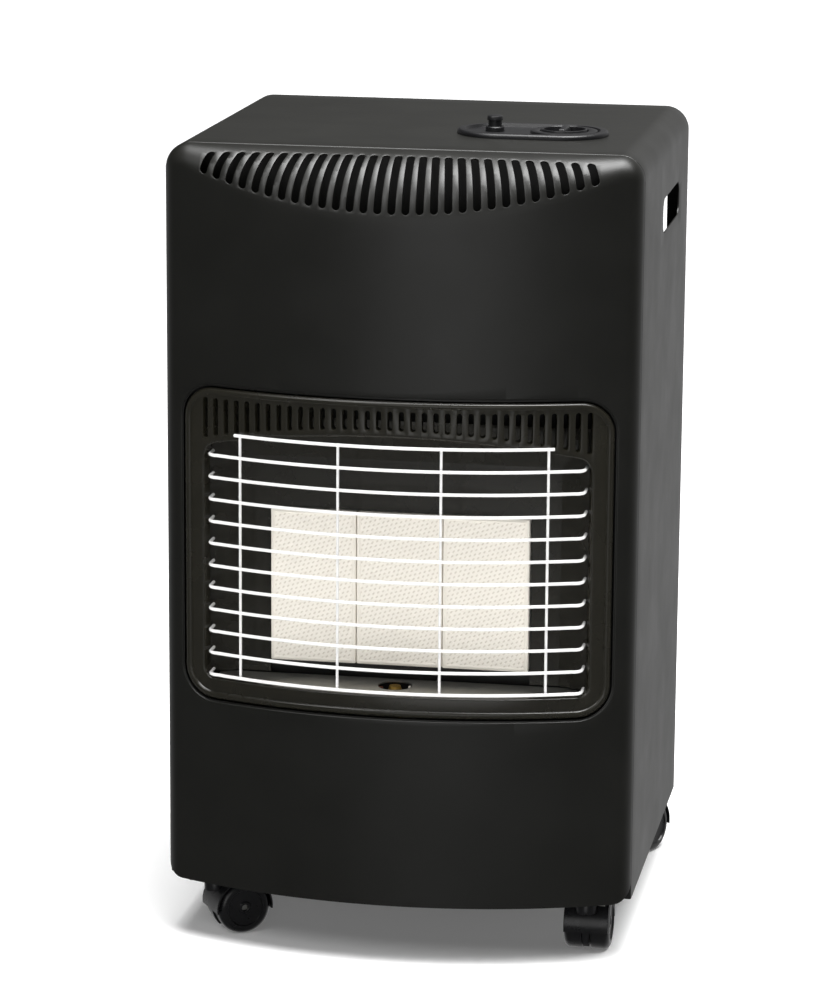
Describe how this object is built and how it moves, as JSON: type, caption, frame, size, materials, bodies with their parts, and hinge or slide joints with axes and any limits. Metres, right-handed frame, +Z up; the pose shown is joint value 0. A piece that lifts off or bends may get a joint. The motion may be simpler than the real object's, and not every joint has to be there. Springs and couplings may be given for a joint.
{
  "type": "portable gas cabinet heater",
  "caption": "Black steel gas cabinet heater on swivel castors: bowed front, slotted top edge, ceramic plaques behind a wire guard, push-and-turn knob, igniter button and pull-off rear cover.",
  "frame": {"origin": "centre of the bounding box on the floor", "axes": "+X to the right of someone facing the front, +Y to the rear, so the front faces -Y, +Z up"},
  "size_m": [0.42, 0.4214, 0.737],
  "materials": {
    "cabinet_paint": "satin",
    "burner_enamel": "satin",
    "guard_wire": "polished",
    "plaque_ceramic": "matte",
    "plated_steel": "satin",
    "brass_fittings": "satin",
    "copper_pipe": "satin",
    "insulator": "gloss",
    "lead_sheath": "matte",
    "control_plastic": "satin",
    "castor_plastic": "satin"
  },
  "bodies": {
    "cabinet": {"cabinet_wrap": "cabinet_paint", "front_panel": "cabinet_paint", "burner_surround": "burner_enamel", "wire_guard": "guard_wire", "burner_panel": "cabinet_paint", "reflector": "burner_enamel", "reflector_shelf": "plated_steel", "heat_shield": "plated_steel", "base_tray": "cabinet_paint", "plaque_left": "plaque_ceramic", "burner_box_left": "plated_steel", "burner_pipe_left": "copper_pipe", "plaque_centre": "plaque_ceramic", "burner_box_centre": "plated_steel", "burner_pipe_centre": "copper_pipe", "plaque_right": "plaque_ceramic", "burner_box_right": "plated_steel", "burner_pipe_right": "copper_pipe", "injector_rail": "brass_fittings", "pilot_bracket": "plated_steel", "pilot_burner": "brass_fittings", "thermocouple": "copper_pipe", "spark_electrode": "insulator", "pilot_pipe": "copper_pipe", "ignition_lead": "lead_sheath", "control_bezel": "control_plastic", "gas_valve": "brass_fittings", "valve_bracket": "plated_steel", "inlet_nozzle": "brass_fittings", "igniter_body": "control_plastic", "castor_plate_front_left": "plated_steel", "castor_plate_front_right": "plated_steel", "castor_plate_rear_left": "plated_steel", "castor_plate_rear_right": "plated_steel"},
    "knob_push": {"valve_push_rod": "plated_steel"},
    "knob_turn": {"control_knob": "control_plastic", "valve_spindle": "brass_fittings"},
    "igniter_press": {"igniter_button": "control_plastic"},
    "cover": {"rear_cover": "cabinet_paint", "cover_clip_left": "control_plastic", "cover_clip_right": "control_plastic"},
    "swivel_front_left": {"castor_hood_front_left": "castor_plastic", "castor_axle_front_left": "plated_steel"},
    "wheel_a_front_left": {"castor_wheel_a_front_left": "castor_plastic"},
    "wheel_b_front_left": {"castor_wheel_b_front_left": "castor_plastic"},
    "swivel_front_right": {"castor_hood_front_right": "castor_plastic", "castor_axle_front_right": "plated_steel"},
    "wheel_a_front_right": {"castor_wheel_a_front_right": "castor_plastic"},
    "wheel_b_front_right": {"castor_wheel_b_front_right": "castor_plastic"},
    "swivel_rear_left": {"castor_hood_rear_left": "castor_plastic", "castor_axle_rear_left": "plated_steel"},
    "wheel_a_rear_left": {"castor_wheel_a_rear_left": "castor_plastic"},
    "wheel_b_rear_left": {"castor_wheel_b_rear_left": "castor_plastic"},
    "swivel_rear_right": {"castor_hood_rear_right": "castor_plastic", "castor_axle_rear_right": "plated_steel"},
    "wheel_a_rear_right": {"castor_wheel_a_rear_right": "castor_plastic"},
    "wheel_b_rear_right": {"castor_wheel_b_rear_right": "castor_plastic"}
  },
  "joints": [
    {"name": "knob_push", "type": "slide", "parent": "cabinet", "child": "knob_push", "axis": [0, 0, -1], "range_m": [0, 0.004], "stiffness_N_per_m": 2000, "springref_m": -0.001},
    {"name": "knob_turn", "type": "hinge", "parent": "knob_push", "child": "knob_turn", "pos_m": [0.123, -0.02475, 0.72], "axis": [0, 0, 1], "range_deg": [0, 210]},
    {"name": "igniter_press", "type": "slide", "parent": "cabinet", "child": "igniter_press", "axis": [0, 0, -1], "range_m": [0, 0.005], "stiffness_N_per_m": 3000, "springref_m": -0.001},
    {"name": "cover_pull", "type": "slide", "parent": "cabinet", "child": "cover", "axis": [0, 1, 0], "range_m": [0, 0.3]},
    {"name": "swivel_front_left", "type": "hinge", "parent": "cabinet", "child": "swivel_front_left", "pos_m": [-0.17, -0.14275, 0.05], "axis": [0, 0, 1], "continuous": true},
    {"name": "roll_a_front_left", "type": "hinge", "parent": "swivel_front_left", "child": "wheel_a_front_left", "pos_m": [-0.15155, -0.13077, 0.0245], "axis": [0.5446, -0.8387, 0], "continuous": true},
    {"name": "roll_b_front_left", "type": "hinge", "parent": "swivel_front_left", "child": "wheel_b_front_left", "pos_m": [-0.15155, -0.13077, 0.0245], "axis": [0.5446, -0.8387, 0], "continuous": true},
    {"name": "swivel_front_right", "type": "hinge", "parent": "cabinet", "child": "swivel_front_right", "pos_m": [0.17, -0.14275, 0.05], "axis": [0, 0, 1], "continuous": true},
    {"name": "roll_a_front_right", "type": "hinge", "parent": "swivel_front_right", "child": "wheel_a_front_right", "pos_m": [0.17, -0.12075, 0.0245], "axis": [1, 0, 0], "continuous": true},
    {"name": "roll_b_front_right", "type": "hinge", "parent": "swivel_front_right", "child": "wheel_b_front_right", "pos_m": [0.17, -0.12075, 0.0245], "axis": [1, 0, 0], "continuous": true},
    {"name": "swivel_rear_left", "type": "hinge", "parent": "cabinet", "child": "swivel_rear_left", "pos_m": [-0.17, 0.15625, 0.05], "axis": [0, 0, 1], "continuous": true},
    {"name": "roll_a_rear_left", "type": "hinge", "parent": "swivel_rear_left", "child": "wheel_a_rear_left", "pos_m": [-0.16248, 0.13558, 0.0245], "axis": [-0.9397, -0.342, 0], "continuous": true},
    {"name": "roll_b_rear_left", "type": "hinge", "parent": "swivel_rear_left", "child": "wheel_b_rear_left", "pos_m": [-0.16248, 0.13558, 0.0245], "axis": [-0.9397, -0.342, 0], "continuous": true},
    {"name": "swivel_rear_right", "type": "hinge", "parent": "cabinet", "child": "swivel_rear_right", "pos_m": [0.17, 0.15625, 0.05], "axis": [0, 0, 1], "continuous": true},
    {"name": "roll_a_rear_right", "type": "hinge", "parent": "swivel_rear_right", "child": "wheel_a_rear_right", "pos_m": [0.17895, 0.17635, 0.0245], "axis": [0.9135, -0.4067, 0], "continuous": true},
    {"name": "roll_b_rear_right", "type": "hinge", "parent": "swivel_rear_right", "child": "wheel_b_rear_right", "pos_m": [0.17895, 0.17635, 0.0245], "axis": [0.9135, -0.4067, 0], "continuous": true}
  ]
}
